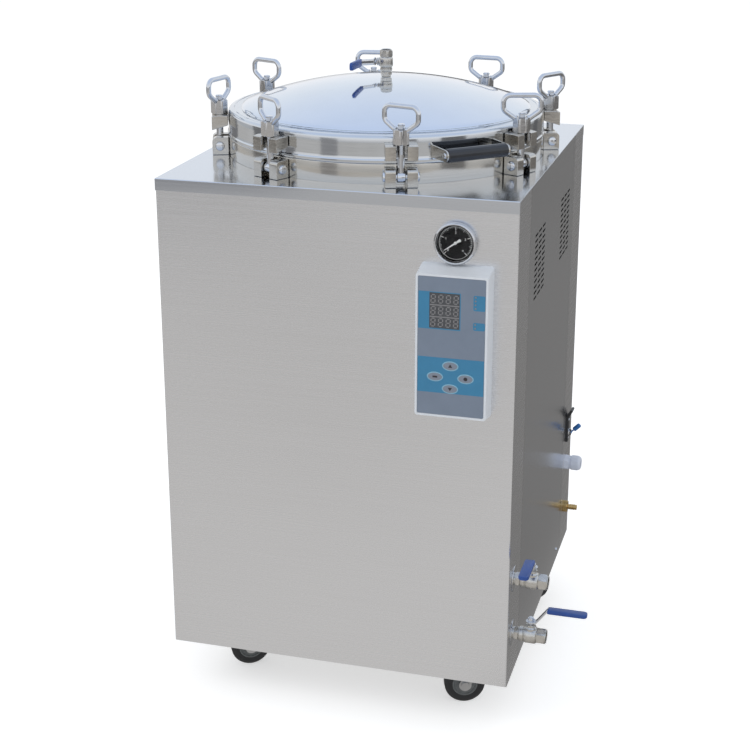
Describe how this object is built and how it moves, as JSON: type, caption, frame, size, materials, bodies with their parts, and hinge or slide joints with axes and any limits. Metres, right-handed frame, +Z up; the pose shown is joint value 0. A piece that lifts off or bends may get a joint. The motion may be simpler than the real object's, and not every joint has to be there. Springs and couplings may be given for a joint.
{
  "type": "vertical steam autoclave",
  "caption": "Vertical steam autoclave: brushed steel cabinet on casters, domed lid held by swing bolts with ring nuts, ball valves, gauge and keypad panel.",
  "frame": {"origin": "centre of the base of the whole machine's box, on the floor", "axes": "+Z up, the front with the gauge and panel towards -Y, the drain valves towards +X"},
  "size_m": [0.725, 0.6948, 1.1147],
  "materials": {
    "polished_steel": "polished stainless",
    "brushed_panel": "fine brushed stainless sheet",
    "polished_plate": "polished stainless sheet",
    "mirror_dome": "mirror polished stainless",
    "ground_steel": "ground stainless",
    "cast_valve": "tumbled cast stainless",
    "lever_blue": "steel lever with a blue vinyl sleeve",
    "black_grip": "satin black plastic",
    "chrome_bezel": "polished",
    "dial_black": "matt black",
    "clear_glass": "clear",
    "white_frame": "satin white moulded plastic",
    "panel_face": "printed keypad film",
    "white_nylon": "moulded nylon",
    "brass_fitting": "turned brass",
    "black_plastic": "moulded",
    "toggle_blue": "moulded cap",
    "zinc_steel": "zinc plated",
    "black_tyre": "moulded rubber"
  },
  "bodies": {
    "cabinet": {"front_panel": "brushed_panel", "back_panel": "brushed_panel", "side_panel_left": "brushed_panel", "side_panel_right": "brushed_panel", "top_plate": "polished_plate", "base_tray": "brushed_panel", "chamber": "polished_steel", "neck_lugs": "ground_steel", "clevis_pins": "polished_steel", "lid_rim": "mirror_dome", "lid_dome": "mirror_dome", "lid_lugs": "ground_steel", "handle_brackets": "ground_steel", "handle_grip": "black_grip", "lid_valve": "cast_valve", "drain_valve_upper": "cast_valve", "drain_valve_lower": "cast_valve", "escutcheons": "polished_steel", "gauge_case": "chrome_bezel", "gauge_dial": "dial_black", "gauge_glass": "clear_glass", "control_frame": "white_frame", "control_face": "panel_face", "cable_gland": "white_nylon", "steam_nozzle": "brass_fitting", "power_switch": "black_plastic", "caster_plates": "zinc_steel"},
    "bolt_1": {"swing_bolt_1": "polished_steel"},
    "nut_1": {"eye_nut_1": "polished_steel"},
    "bolt_2": {"swing_bolt_2": "polished_steel"},
    "nut_2": {"eye_nut_2": "polished_steel"},
    "bolt_3": {"swing_bolt_3": "polished_steel"},
    "nut_3": {"eye_nut_3": "polished_steel"},
    "bolt_4": {"swing_bolt_4": "polished_steel"},
    "nut_4": {"eye_nut_4": "polished_steel"},
    "bolt_5": {"swing_bolt_5": "polished_steel"},
    "nut_5": {"eye_nut_5": "polished_steel"},
    "bolt_6": {"swing_bolt_6": "polished_steel"},
    "nut_6": {"eye_nut_6": "polished_steel"},
    "bolt_7": {"swing_bolt_7": "polished_steel"},
    "nut_7": {"eye_nut_7": "polished_steel"},
    "bolt_8": {"swing_bolt_8": "polished_steel"},
    "nut_8": {"eye_nut_8": "polished_steel"},
    "lid_lever": {"lid_valve_lever": "lever_blue"},
    "upper_lever": {"drain_lever_upper": "lever_blue"},
    "lower_lever": {"drain_lever_lower": "lever_blue"},
    "toggle": {"switch_toggle": "toggle_blue"},
    "fork_1": {"caster_fork_1": "zinc_steel"},
    "wheel_1": {"caster_wheel_1": "black_tyre"},
    "fork_2": {"caster_fork_2": "zinc_steel"},
    "wheel_2": {"caster_wheel_2": "black_tyre"},
    "fork_3": {"caster_fork_3": "zinc_steel"},
    "wheel_3": {"caster_wheel_3": "black_tyre"},
    "fork_4": {"caster_fork_4": "zinc_steel"},
    "wheel_4": {"caster_wheel_4": "black_tyre"}
  },
  "joints": [
    {"name": "bolt_swing_1", "type": "hinge", "parent": "cabinet", "child": "bolt_1", "pos_m": [0.03634, -0.24697, 0.9555], "axis": [0.9397, 0.342, 0], "range_deg": [0, 72]},
    {"name": "nut_turn_1", "type": "hinge", "parent": "bolt_1", "child": "nut_1", "pos_m": [0.03634, -0.24697, 1.008], "axis": [0, 0, 1], "continuous": true},
    {"name": "bolt_swing_2", "type": "hinge", "parent": "cabinet", "child": "bolt_2", "pos_m": [0.19942, -0.09754, 0.9555], "axis": [0.4226, 0.9063, 0], "range_deg": [0, 72]},
    {"name": "nut_turn_2", "type": "hinge", "parent": "bolt_2", "child": "nut_2", "pos_m": [0.19942, -0.09754, 1.008], "axis": [0, 0, 1], "continuous": true},
    {"name": "bolt_swing_3", "type": "hinge", "parent": "cabinet", "child": "bolt_3", "pos_m": [0.20907, 0.12344, 0.9555], "axis": [-0.342, 0.9397, 0], "range_deg": [0, 72]},
    {"name": "nut_turn_3", "type": "hinge", "parent": "bolt_3", "child": "nut_3", "pos_m": [0.20907, 0.12344, 1.008], "axis": [0, 0, 1], "continuous": true},
    {"name": "bolt_swing_4", "type": "hinge", "parent": "cabinet", "child": "bolt_4", "pos_m": [0.05964, 0.28652, 0.9555], "axis": [-0.9063, 0.4226, 0], "range_deg": [0, 72]},
    {"name": "nut_turn_4", "type": "hinge", "parent": "bolt_4", "child": "nut_4", "pos_m": [0.05964, 0.28652, 1.008], "axis": [0, 0, 1], "continuous": true},
    {"name": "bolt_swing_5", "type": "hinge", "parent": "cabinet", "child": "bolt_5", "pos_m": [-0.16134, 0.29617, 0.9555], "axis": [-0.9397, -0.342, 0], "range_deg": [0, 72]},
    {"name": "nut_turn_5", "type": "hinge", "parent": "bolt_5", "child": "nut_5", "pos_m": [-0.16134, 0.29617, 1.008], "axis": [0, 0, 1], "continuous": true},
    {"name": "bolt_swing_6", "type": "hinge", "parent": "cabinet", "child": "bolt_6", "pos_m": [-0.32442, 0.14674, 0.9555], "axis": [-0.4226, -0.9063, 0], "range_deg": [0, 72]},
    {"name": "nut_turn_6", "type": "hinge", "parent": "bolt_6", "child": "nut_6", "pos_m": [-0.32442, 0.14674, 1.008], "axis": [0, 0, 1], "continuous": true},
    {"name": "bolt_swing_7", "type": "hinge", "parent": "cabinet", "child": "bolt_7", "pos_m": [-0.33407, -0.07424, 0.9555], "axis": [0.342, -0.9397, 0], "range_deg": [0, 72]},
    {"name": "nut_turn_7", "type": "hinge", "parent": "bolt_7", "child": "nut_7", "pos_m": [-0.33407, -0.07424, 1.008], "axis": [0, 0, 1], "continuous": true},
    {"name": "bolt_swing_8", "type": "hinge", "parent": "cabinet", "child": "bolt_8", "pos_m": [-0.18464, -0.23732, 0.9555], "axis": [0.9063, -0.4226, 0], "range_deg": [0, 72]},
    {"name": "nut_turn_8", "type": "hinge", "parent": "bolt_8", "child": "nut_8", "pos_m": [-0.18464, -0.23732, 1.008], "axis": [0, 0, 1], "continuous": true},
    {"name": "lid_valve_turn", "type": "hinge", "parent": "cabinet", "child": "lid_lever", "pos_m": [-0.0625, 0.0246, 1.0931], "axis": [-0.9994, 0.0349, 0], "range_deg": [0, 90]},
    {"name": "drain_upper_turn", "type": "hinge", "parent": "cabinet", "child": "upper_lever", "pos_m": [0.2685, -0.2534, 0.283], "axis": [0, 0, 1], "range_deg": [0, 90]},
    {"name": "drain_lower_turn", "type": "hinge", "parent": "cabinet", "child": "lower_lever", "pos_m": [0.2685, -0.2534, 0.182], "axis": [0, 0, 1], "range_deg": [-90, 0]},
    {"name": "power_toggle", "type": "hinge", "parent": "cabinet", "child": "toggle", "pos_m": [0.24635, 0.2796, 0.341], "axis": [0, 1, 0], "range_deg": [0, 90]},
    {"name": "caster_swivel_1", "type": "hinge", "parent": "cabinet", "child": "fork_1", "pos_m": [-0.2905, -0.1804, 0.0887], "axis": [0, 0, 1], "continuous": true},
    {"name": "wheel_roll_1", "type": "hinge", "parent": "fork_1", "child": "wheel_1", "pos_m": [-0.26885, -0.1679, 0.036], "axis": [-0.5, 0.866, 0], "continuous": true},
    {"name": "caster_swivel_2", "type": "hinge", "parent": "cabinet", "child": "fork_2", "pos_m": [0.1655, -0.1804, 0.0887], "axis": [0, 0, 1], "continuous": true},
    {"name": "wheel_roll_2", "type": "hinge", "parent": "fork_2", "child": "wheel_2", "pos_m": [0.14201, -0.18895, 0.036], "axis": [0.342, -0.9397, 0], "continuous": true},
    {"name": "caster_swivel_3", "type": "hinge", "parent": "cabinet", "child": "fork_3", "pos_m": [-0.2905, 0.2296, 0.0887], "axis": [0, 0, 1], "continuous": true},
    {"name": "wheel_roll_3", "type": "hinge", "parent": "fork_3", "child": "wheel_3", "pos_m": [-0.27135, 0.24567, 0.036], "axis": [-0.6428, 0.766, 0], "continuous": true},
    {"name": "caster_swivel_4", "type": "hinge", "parent": "cabinet", "child": "fork_4", "pos_m": [0.1655, 0.2296, 0.0887], "axis": [0, 0, 1], "continuous": true},
    {"name": "wheel_roll_4", "type": "hinge", "parent": "fork_4", "child": "wheel_4", "pos_m": [0.18816, 0.21904, 0.036], "axis": [0.4226, 0.9063, 0], "continuous": true}
  ]
}
